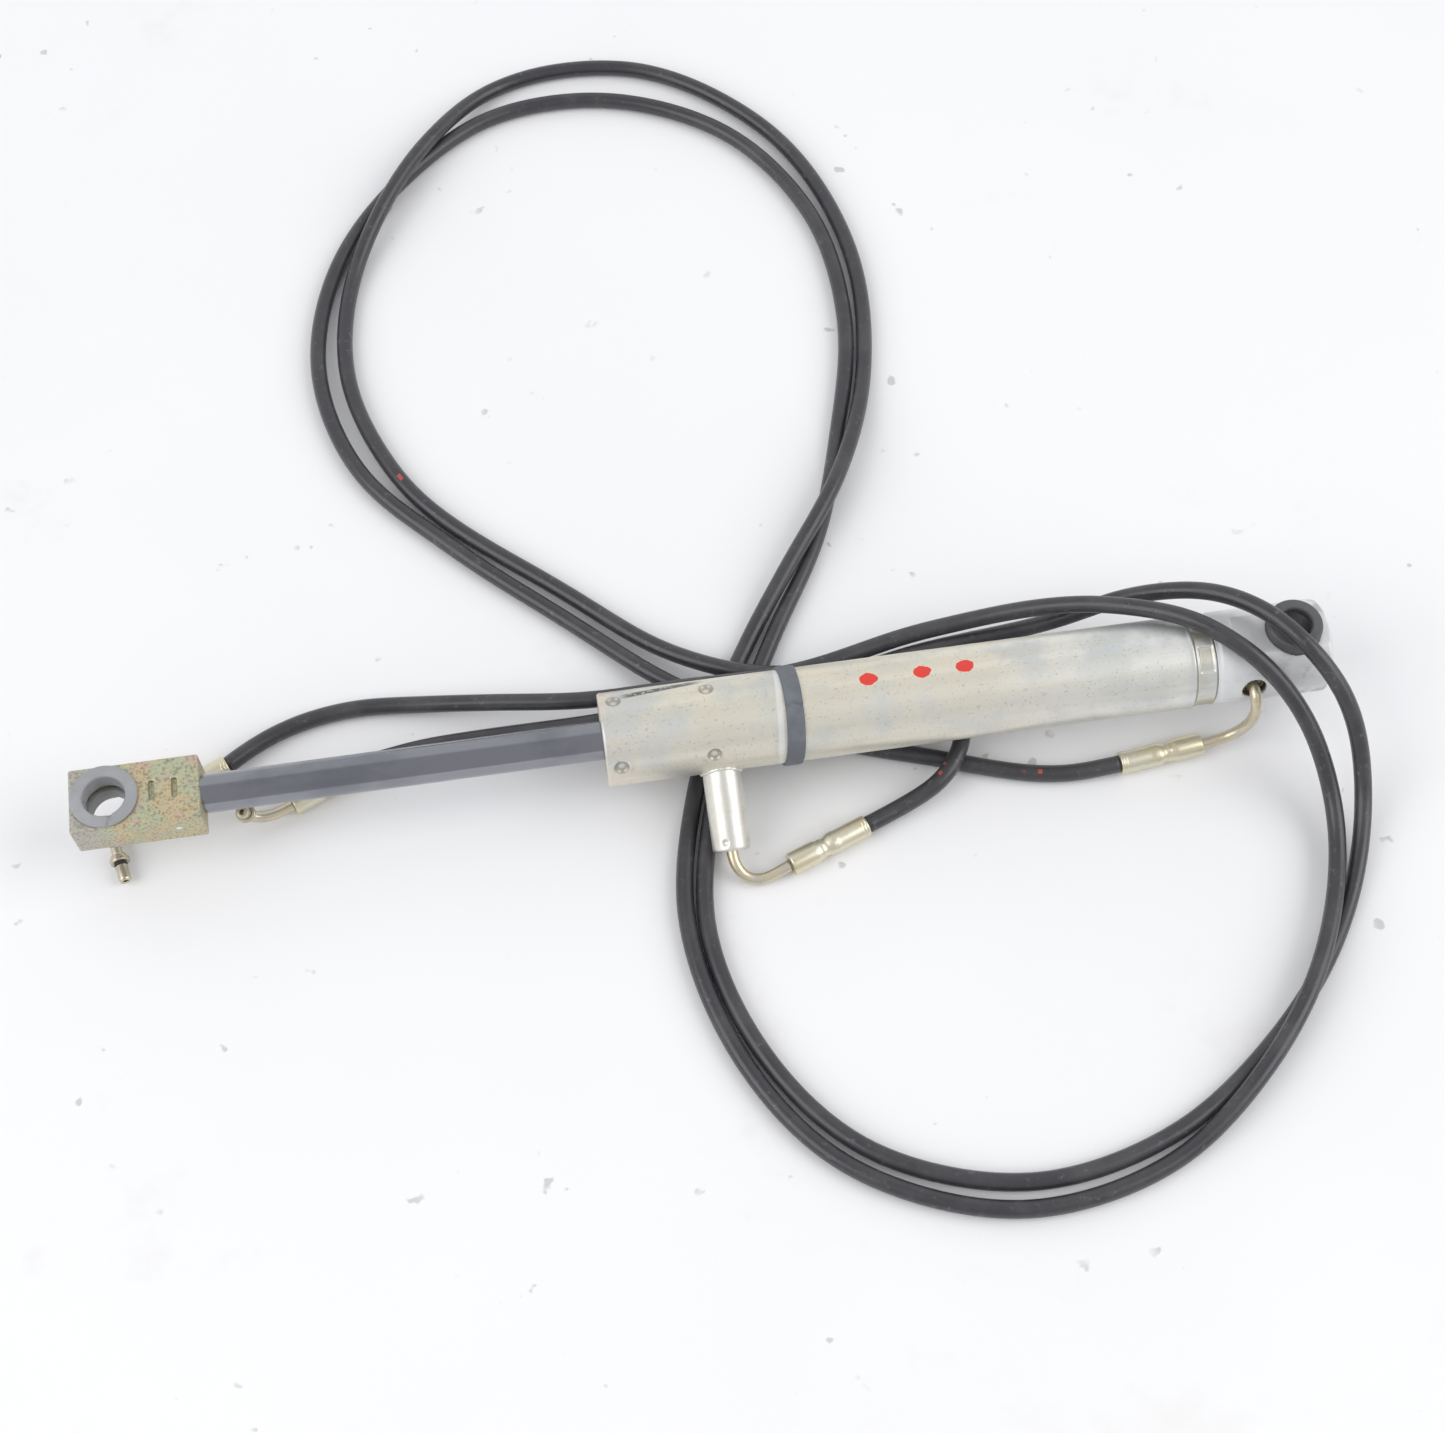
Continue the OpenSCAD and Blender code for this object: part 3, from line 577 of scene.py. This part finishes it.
def hose_material(name, marks):
    """Black extruded cover with fine ribs; marks are (metres along, turn, length) of red dashes."""
    m = Nodes(name)
    uv = m.coords.outputs["UV"]
    u, v = m.axis(uv, 0), m.axis(uv, 1)
    rib = m.math("SINE", m.math("MULTIPLY", v, 2 * math.pi / 0.0009))
    twist = m.math("SINE", m.math("ADD", m.math("MULTIPLY", u, 2 * math.pi * 22),
                                  m.math("MULTIPLY", v, 2 * math.pi / 0.006)))
    fine = m.noise(m.mapped(), 1100, 3.0, 0.6)
    cloud = m.noise(m.mapped(), 55, 5.0, 0.6)
    dust = m.noise(m.mapped(), 340, 4.0, 0.65)
    color = m.mix(m.ramp(cloud, 0.42, 0.70), (0.036, 0.035, 0.041), (0.056, 0.054, 0.060))
    color = m.mix(m.ramp(dust, 0.58, 0.74, (0, 0.45)), color, (0.17, 0.165, 0.17))
    red = None
    for along, turn, length in marks:
        a = m.ramp(m.math("ABSOLUTE", m.math("SUBTRACT", v, along)), length / 2 + 0.0002, length / 2)
        gap = m.math("ABSOLUTE", m.math("SUBTRACT", u, turn))
        b = m.ramp(gap, 0.045, 0.035)
        both = m.math("MULTIPLY", m.math("MULTIPLY", a, b), m.ramp(dust, 0.36, 0.46))
        red = both if red is None else m.math("MAXIMUM", red, both)
    if red is not None:
        color = m.mix(m.math("MULTIPLY", red, 0.85), color, (0.50, 0.07, 0.06))
    height = m.math("ADD", m.math("MULTIPLY", rib, 0.35), m.math("MULTIPLY", twist, 0.2))
    height = m.math("ADD", height, m.math("MULTIPLY", fine, 1.2))
    m.bump(height, 0.35, 0.00006)
    rough = m.ramp(cloud, 0.3, 0.7, (0.30, 0.44))
    return m.finish(color, rough, 0.0, Coat_Weight=0.25, Coat_Roughness=0.2)


def plain_material(name, color, rough, metallic=0.0, grain=500):
    m = Nodes(name)
    fine = m.noise(m.mapped(), grain, 3.0, 0.6)
    cloud = m.noise(m.mapped(), 90, 3.0, 0.5)
    dark = tuple(c * 0.72 for c in color)
    m.bump(fine, 0.2, 0.00005)
    base = m.mix(m.ramp(cloud, 0.35, 0.7, (0, 0.7)), color, dark)
    return m.finish(base, m.ramp(fine, 0.3, 0.7, (rough, rough + 0.08)), metallic)


MAT = {
    "tube": zinc_tube_material(),
    "sleeve": plated_material("sleeve_zinc", (0.80, 0.79, 0.74), (0.75, 0.73, 0.66), (0.50, 0.47, 0.41), 0.32,
                              0.75, 900, 0.15),
    "gold": plated_material("fitting_zinc", (0.76, 0.69, 0.50), (0.74, 0.71, 0.58), (0.50, 0.43, 0.32), 0.27,
                            0.8, 700, 0.10),
    "pipe": plated_material("pipe_zinc", (0.70, 0.61, 0.44), (0.60, 0.56, 0.48), (0.38, 0.32, 0.24), 0.28,
                            0.75, 700, 0.10),
    "nipple": plated_material("nipple_zinc", (0.66, 0.60, 0.46), (0.52, 0.47, 0.38), (0.30, 0.26, 0.20),
                              0.28),
    "block": rainbow_material(),
    "rod": chrome_material(),
    "cap": cast_material(),
    "bush": rubber_material("bush_liner", (0.31, 0.315, 0.325), 0.38, 900, 0.15, (0.42, 0.425, 0.435), 0.5),
    "rubber": rubber_material("black_rubber", (0.10, 0.10, 0.105), 0.55),
    "band": rubber_material("band_rubber", (0.125, 0.135, 0.155), 0.50, 600, 0.2, (0.20, 0.215, 0.24), 0.5),
    "seal": rubber_material("seal_rubber", (0.02, 0.02, 0.02), 0.45),
    "poly": plain_material("seal_polyurethane", (0.10, 0.20, 0.36), 0.4),
    "tape": plain_material("guide_tape", (0.34, 0.27, 0.17), 0.5),
    "turned": plain_material("turned_metal", (0.62, 0.63, 0.64), 0.3, 0.95),
    "steel": plain_material("plain_steel", (0.42, 0.42, 0.43), 0.35, 0.95),
    "clip": plain_material("clip_steel", (0.25, 0.24, 0.23), 0.4, 0.8),
}

# CAD nodes that show as they are
CARRIED = {
    "rod_guide": "turned", "guide_o_ring": "seal", "rod_seal": "poly", "rod_wiper": "seal",
    "sleeve_plug": "gold", "sleeve_plug_o_ring": "seal", "cap_o_ring": "seal", "cap_plug": "gold",
    "cap_plug_o_ring": "seal", "cap_bush_sleeve": "steel", "piston_rod": "rod", "piston": "turned",
    "piston_o_ring": "seal", "piston_nut": "steel", "piston_seal": "poly", "wear_ring": "tape",
    "nipple_o_ring_1": "seal", "nipple_o_ring_2": "seal",
}
for node_name, material_name in CARRIED.items():
    carried = nodes[node_name]
    carried.data.materials.clear()
    carried.data.materials.append(MAT[material_name])


# ---------------------------------------------------------------- hoses
def make_hose(name, node, route, material):
    points = relaxed(curve_points(route, 0.0016, FLOOR + HOSE_R), 24, FLOOR + HOSE_R)
    obj = tube_along(name, points, HOSE_R, 20, 0.006)
    finish_piece(obj, material, "barrel", "hose_black", node)
    return points


def smooth_pipe(name, node, route, radius=PIPE_R):
    points = relaxed(curve_points(route, 0.0006, FLOOR + radius), 30, FLOOR + radius)
    obj = tube_along(name, points, radius, 24)
    return finish_piece(obj, MAT["pipe"], "barrel", "fitting_zinc", node)


def ferrule(name, node, hose_end, pipe_end):
    start, end = Vector(hose_end), Vector(pipe_end)
    mm = 0.001
    outline = [
        (0, 0), (3.9, 0), (4.2, 0.35), (4.2, 1.0), (4.02, 1.2), (4.2, 1.4), (4.2, 2.2), (4.02, 2.4),
        (4.2, 2.6), (4.2, 12.0), (4.42, 13.4), (4.42, 15.0), (3.95, 16.4), (3.6, 17.2), (3.62, 18.2),
        (3.95, 19.0), (3.85, 20.0), (4.3, 21.4), (4.36, 22.2), (4.36, 31.4), (4.1, 31.9), (2.3, 32.0),
        (2.2, 31.0), (0, 31.0),
    ]

    def crimp(q, a):
        h = q.z / mm
        if 17.5 < h < 20.5:
            q = q.copy()
            flat = 1 - 0.035 * (0.5 + 0.5 * math.cos(a * 8))
            q.x *= flat
            q.y *= flat
        return q

    profile = rounded([(r * mm, h * mm) for r, h in outline], 0.00022, 3)
    obj = spin(name, profile, 56, aimed(start, end - start), crimp)
    return finish_piece(obj, MAT["gold"], "barrel", "fitting_zinc", node)


def nipple(name, node, place):
    mm = 0.001
    outline = [
        (1.0, 0), (2.9, 0), (3.1, 0.5), (3.1, 1.2), (3.6, 1.35), (3.6, 2.75), (3.35, 3.0), (1.62, 3.02),
        (1.62, 4.3), (2.3, 4.32), (2.3, 9.9), (1.95, 10.55),
        (1.15, 10.6), (1.0, 10.4),
    ]
    profile = rounded([(r * mm, h * mm) for r, h in outline], 0.00015, 3)
    obj = spin(name, profile, 48, aimed(*place))
    return finish_piece(obj, MAT["nipple"], "barrel", "fitting_zinc", node)


ferrule("crimp_ferrule_a", "ferrule_a", ROUTE_A[0], ROUTE_PIPE_A[0])
ferrule("crimp_ferrule_b", "ferrule_b", ROUTE_B[0], ROUTE_PIPE_B[0])
smooth_pipe("steel_pipe_a", "pipe_a", ROUTE_PIPE_A)
smooth_pipe("steel_pipe_b", "pipe_b", ROUTE_PIPE_B)
end_1 = [
    ferrule("free_ferrule_1", "end_ferrule_1", ROUTE_A[-1], ROUTE_PIPE_1[0]),
    smooth_pipe("free_pipe_1", "end_pipe_1", ROUTE_PIPE_1),
    nipple("free_nipple_1", "end_nipple_1", NIPPLE_1),
    nodes["nipple_o_ring_1"],
]
end_2 = [
    ferrule("free_ferrule_2", "end_ferrule_2", ROUTE_B[-1], ROUTE_PIPE_2[0]),
    smooth_pipe("free_pipe_2", "end_pipe_2", ROUTE_PIPE_2),
    nipple("free_nipple_2", "end_nipple_2", NIPPLE_2),
    nodes["nipple_o_ring_2"],
]
RED_DASHES_A = [(0.034, 0.30, 0.0016), (0.038, 0.36, 0.0010), (0.315, 0.27, 0.003)]
RED_DASHES_B = [(0.030, 0.28, 0.0014), (0.036, 0.33, 0.0010)]
make_hose("pressure_hose_a", "hose_a", ROUTE_A, hose_material("hose_cover_a", RED_DASHES_A))
make_hose("pressure_hose_b", "hose_b", ROUTE_B, hose_material("hose_cover_b", RED_DASHES_B))


# ---------------------------------------------------------------- barrel
def barrel_shell():
    """The drawn tube: staked dimples at the rod end, and a rolled skirt with windows at the cap."""
    steps = 288
    spots = [(x, math.radians(t)) for x in DIMPLE_ROWS for t in DIMPLE_TURNS]
    windows = [math.radians(t) for t in WINDOW_TURNS]

    def outer(x, a):
        r = TUBE_R + 0.00004 * noise.noise(Vector((x * 90, math.cos(a) * 2, math.sin(a) * 2)))
        r -= 0.0006 * ease(x, -0.0379, -0.0372)
        r += 0.00022 * math.exp(-(((x + 0.0385) / 0.0005) ** 2))
        r += 0.00022 * math.exp(-(((x + 0.0306) / 0.0004) ** 2))
        for sx, sa in spots:
            if abs(x - sx) > 0.0045:
                continue
            turn = (a - sa + math.pi) % (2 * math.pi) - math.pi
            d = math.hypot(x - sx, turn * TUBE_R)
            r -= 0.0011 * (1 - ease(d, 0.0017, 0.0028))
            r += 0.00014 * math.exp(-(((d - 0.0034) / 0.0006) ** 2))
        if x > -0.0375:
            for wa in windows:
                turn = (a - wa + math.pi) % (2 * math.pi) - math.pi
                inside = (1 - ease(abs(x + 0.0336), 0.0023, 0.0027)) * (
                    1 - ease(abs(turn) * TUBE_R, 0.0046, 0.0050))
                r -= 0.0009 * inside
        return r

    rows = []
    x = TUBE_LEFT
    while x < TUBE_RIGHT - 1e-6:
        rows.append(x)
        near = x < -0.206 or x > -0.042
        x += 0.00036 if near else 0.0022
    rows.append(TUBE_RIGHT)
    profile = [("in", TUBE_LEFT + 0.0004, 0.01412), ("in", TUBE_LEFT + 0.0001, 0.0144),
               ("in", TUBE_LEFT, 0.0147), ("in", TUBE_LEFT, 0.0164)]
    profile += [("out", x, 0) for x in rows[1:-1]]
    profile += [("in", TUBE_RIGHT - 0.0001, 0.0162), ("in", TUBE_RIGHT, 0.0160), ("in", TUBE_RIGHT, 0.01405),
                ("in", TUBE_RIGHT - 0.002, 0.01402), ("in", -0.12, 0.01402)]
    verts, faces = [], []
    count = len(profile)
    for s in range(steps):
        a = 2 * math.pi * s / steps
        for kind, px, pr in profile:
            r = outer(px, a) if kind == "out" else pr
            if kind == "out" and px < TUBE_LEFT + 0.0006:
                r -= 0.0002
            verts.append((px, r * math.cos(a), r * math.sin(a)))
    for s in range(steps):
        t = (s + 1) % steps
        for k in range(count):
            m = (k + 1) % count
            faces.append((s * count + k, s * count + m, t * count + m, t * count + k))
    obj = add_object("barrel_shell", verts, faces)
    return finish_piece(obj, MAT["tube"], "barrel", "barrel_zinc", "barrel_tube")


def sleeve_shell():
    mm = 0.001
    outline = [(2.6, 14.6), (6.9, 14.6), (7.0, 20.2), (6.95, 44.7), (6.6, 45.4), (5.2, 45.5), (5.0, 45.2),
               (5.0, 26.0), (2.6, 25.8)]
    profile = []
    for (r0, h0), (r1, h1) in zip(outline, outline[1:] + outline[:1]):
        pieces = max(1, round(math.hypot(r1 - r0, h1 - h0) / 0.45))
        profile += [((r0 + (r1 - r0) * k / pieces) * mm, (h0 + (h1 - h0) * k / pieces) * mm)
                    for k in range(pieces)]

    def dent(q, a):
        if math.hypot(q.x, q.y) < 0.0062:
            return q
        for spot in (20, 110, 200, 290):
            turn = (a - math.radians(spot) + math.pi) % (2 * math.pi) - math.pi
            d = math.hypot(turn * 0.007, q.z - 0.0423)
            q = q.copy()
            push = 1 - 0.085 * (1 - ease(d, 0.0006, 0.0014))
            q.x *= push
            q.y *= push
        return q

    place = aimed(Vector((SLEEVE_X, 0, 0)), (0, -math.cos(SLEEVE_TILT), -math.sin(SLEEVE_TILT)))
    obj = spin("port_sleeve_shell", profile, 120, place, dent)
    return finish_piece(obj, MAT["sleeve"], "barrel", "sleeve_zinc", "port_sleeve")


def weld_ring():
    """A small uneven bead where the sleeve meets the tube."""
    place = aimed(Vector((SLEEVE_X, 0, 0)), (0, -math.cos(SLEEVE_TILT), -math.sin(SLEEVE_TILT)))
    verts, faces = [], []
    steps, sides = 180, 12
    for s in range(steps):
        a = 2 * math.pi * s / steps
        reach = 0.0072
        local = Vector((reach * math.cos(a), reach * math.sin(a), 0))
        world = place @ local
        side = place.to_3x3() @ Vector((0, 0, 1))
        # distance along the sleeve at which this line meets the tube
        b = world.y * side.y + world.z * side.z
        c = world.y**2 + world.z**2 - TUBE_R**2
        k = side.y**2 + side.z**2
        h = (-b + math.sqrt(max(0.0, b * b - k * c))) / k
        lump = 0.00062 + 0.00014 * noise.noise(Vector((math.cos(a) * 9, math.sin(a) * 9, 1.0)))
        for j in range(sides):
            t = 2 * math.pi * j / sides
            rr = reach + lump * math.cos(t)
            along = h + 0.0002 + lump * math.sin(t)
            verts.append(place @ Vector((rr * math.cos(a), rr * math.sin(a), along)))
    for s in range(steps):
        n = (s + 1) % steps
        for j in range(sides):
            m = (j + 1) % sides
            faces.append((s * sides + j, n * sides + j, n * sides + m, s * sides + m))
    obj = add_object("sleeve_weld_bead", verts, faces)
    return finish_piece(obj, MAT["sleeve"], "barrel", "sleeve_zinc", "sleeve_weld")


def band_ring():
    """The rubber band: a slanted flat ring with a V-shaped butt joint."""
    steps, across = 240, 10
    verts, faces = [], []
    count = 2 * across
    seam = math.radians(104)
    for s in range(steps):
        a = 2 * math.pi * s / steps
        lean = -0.0012 * (1 - math.sin(a))
        turn = (a - seam + math.pi) % (2 * math.pi) - math.pi
        for k in range(count):
            side = k < across
            f = (k if side else count - 1 - k) / (across - 1)
            x = -0.1836 + (f - 0.5) * 0.0064 + lean
            vee = turn - 0.16 * (abs(f - 0.45) - 0.25)
            groove = math.exp(-((vee * 17.8 / 0.5) ** 2))
            edge = 0.00025 * (abs(2 * f - 1) ** 6)
            r = (TUBE_R + 0.0011 - edge - 0.0008 * groove) if side else TUBE_R + 0.00002
            verts.append((x, r * math.cos(a), r * math.sin(a)))
    for s in range(steps):
        n = (s + 1) % steps
        for k in range(count):
            m = (k + 1) % count
            faces.append((s * count + k, s * count + m, n * count + m, n * count + k))
    obj = add_object("slanted_band", verts, faces)
    return finish_piece(obj, MAT["band"], "barrel", "rubber_black", "rubber_band")


def eye_bush():
    mm = 0.001
    outline = [(6.6, -19.5), (9.4, -19.5), (9.98, -18.9), (9.98, 18.9), (9.4, 19.5), (6.6, 19.5),
               (6.02, 18.8),
               (6.02, 16.6), (7.2, 16.5), (7.2, -16.5), (6.02, -16.6), (6.02, -18.8)]
    profile = rounded([(r * mm, h * mm) for r, h in outline], 0.0005, 4)
    obj = spin("cap_eye_bush", profile, 96, Matrix.Identity(4))
    return finish_piece(obj, MAT["rubber"], "barrel", "rubber_black", "cap_bush")


def clip_ring():
    place = Matrix.Translation((CAP_PORT_X, 0, 0)) @ Matrix.Rotation(math.pi / 2 - CAP_PORT_TILT, 4, "X")
    points = []
    for k in range(60):
        a = math.radians(-50 + 280 * k / 59)
        points.append(Vector((0.0037 * math.cos(a), 0.0037 * math.sin(a), 0.0140)))
    points = [place @ q for q in points]
    obj = tube_along("port_clip", points, 0.00048, 12)
    return finish_piece(obj, MAT["clip"], "barrel", "steel_plain", "cap_clip")


barrel_shell()
sleeve_shell()
weld_ring()
band_ring()
eye_bush()
clip_ring()
cap = soften("cap_casting", "end_cap", 0.00034, 5)
finish_piece(cap, MAT["cap"], "barrel", "cap_metal", "end_cap")


# ---------------------------------------------------------------- rod end
def liner_bush(name, node, up):
    mm = 0.001
    outline = [(7.5, 2.0), (8.98, 2.0), (8.98, 8.0), (11.6, 8.02), (12.0, 8.4), (12.0, 8.95), (11.55, 9.35),
               (8.1, 9.35), (7.5, 8.75)]
    profile = rounded([(r * mm, h * mm) for r, h in outline], 0.00035, 4)

    def notch(q, a):
        reach = math.hypot(q.x, q.y)
        turn = (a - math.radians(-82) + math.pi) % (2 * math.pi) - math.pi
        slant = turn * reach + (reach - 0.0095) * 0.45
        cut = math.exp(-((slant / 0.0008) ** 2)) * ease(q.z, 0.0080, 0.0088)
        return Vector((q.x, q.y, q.z - 0.0012 * cut))

    place = Matrix.Translation((ROD_EYE_X, 0, 0))
    if not up:
        place = place @ Matrix.Rotation(math.pi, 4, "X")
    obj = spin(name, profile, 320, place, notch)
    return finish_piece(obj, MAT["bush"], "rod", "bush_grey", node)


liner_bush("liner_bush_top", "rod_end_bush_top", True)
liner_bush("liner_bush_bottom", "rod_end_bush_bottom", False)
block = soften("rod_end_casting", "rod_end_block", 0.00030, 3)
finish_piece(block, MAT["block"], "rod", "gold_zinc", "rod_end_block")


# ---------------------------------------------------------------- floor and light
def make_floor():
    m = Nodes("floor_paint")
    cloud = m.noise(m.mapped(), 3.0, 4.0, 0.6)
    color = m.mix(m.ramp(cloud, 0.35, 0.7), (0.90, 0.90, 0.91), (0.88, 0.88, 0.89))
    stain = m.noise(m.mapped((1, 1, 1), shift=(2, 1, 0)), 9, 5.0, 0.7)
    grit = m.noise(m.mapped((1, 1, 1), shift=(1, 3, 0)), 110, 2.0, 0.5)
    place = m.noise(m.mapped((1, 1, 1), shift=(4, 3, 0)), 22, 3.0, 0.6)
    color = m.mix(m.ramp(stain, 0.60, 0.72, (0, 0.5)), color, (0.82, 0.81, 0.79))
    dirt = m.math("MULTIPLY", m.ramp(grit, 0.70, 0.75), m.ramp(place, 0.52, 0.60))
    color = m.mix(m.math("MULTIPLY", dirt, 0.55), color, (0.40, 0.39, 0.37))
    material = m.finish(color, 0.6)
    size = 6.0
    corner = size / 2
    obj = add_object("studio_floor", [(-corner, -corner, FLOOR - 0.0001), (corner, -corner, FLOOR - 0.0001),
                                      (corner, corner, FLOOR - 0.0001), (-corner, corner, FLOOR - 0.0001)],
                     [(0, 1, 2, 3)], smooth=False)
    obj.data.materials.append(material)


def make_world():
    world = bpy.data.worlds.new("soft_room")
    bpy.context.scene.world = world
    world.use_nodes = True
    tree = world.node_tree
    background = next(n for n in tree.nodes if n.type == "BACKGROUND")
    coords = tree.nodes.new("ShaderNodeTexCoord")
    split = tree.nodes.new("ShaderNodeSeparateXYZ")
    shade = tree.nodes.new("ShaderNodeMapRange")
    shade.interpolation_type = "SMOOTHSTEP"
    shade.inputs["From Min"].default_value = 0.28
    shade.inputs["From Max"].default_value = 0.50
    shade.inputs["To Min"].default_value = 0.58
    shade.inputs["To Max"].default_value = 0.88
    tree.links.new(coords.outputs["Generated"], split.inputs[0])
    tree.links.new(split.outputs[1], shade.inputs["Value"])
    tree.links.new(shade.outputs["Result"], background.inputs["Strength"])
    background.inputs["Color"].default_value = (0.97, 0.98, 1.0, 1)


def soft_light(name, place, target, size, power):
    data = bpy.data.lights.new(name, "AREA")
    data.shape = "RECTANGLE"
    data.size, data.size_y = size
    data.energy = power
    obj = bpy.data.objects.new(name, data)
    bpy.context.scene.collection.objects.link(obj)
    obj.location = place
    obj.rotation_mode = "QUATERNION"
    obj.rotation_quaternion = (Vector(target) - Vector(place)).to_track_quat("-Z", "Y")


bpy.context.scene.view_settings.view_transform = "Standard"
make_floor()
make_world()
soft_light("left", (-2.7, -0.7, 2.1), (-0.2, 0, 0), (2.6, 2.6), 47)
soft_light("right", (2.3, -0.6, 2.1), (-0.2, 0, 0), (2.6, 2.6), 47)
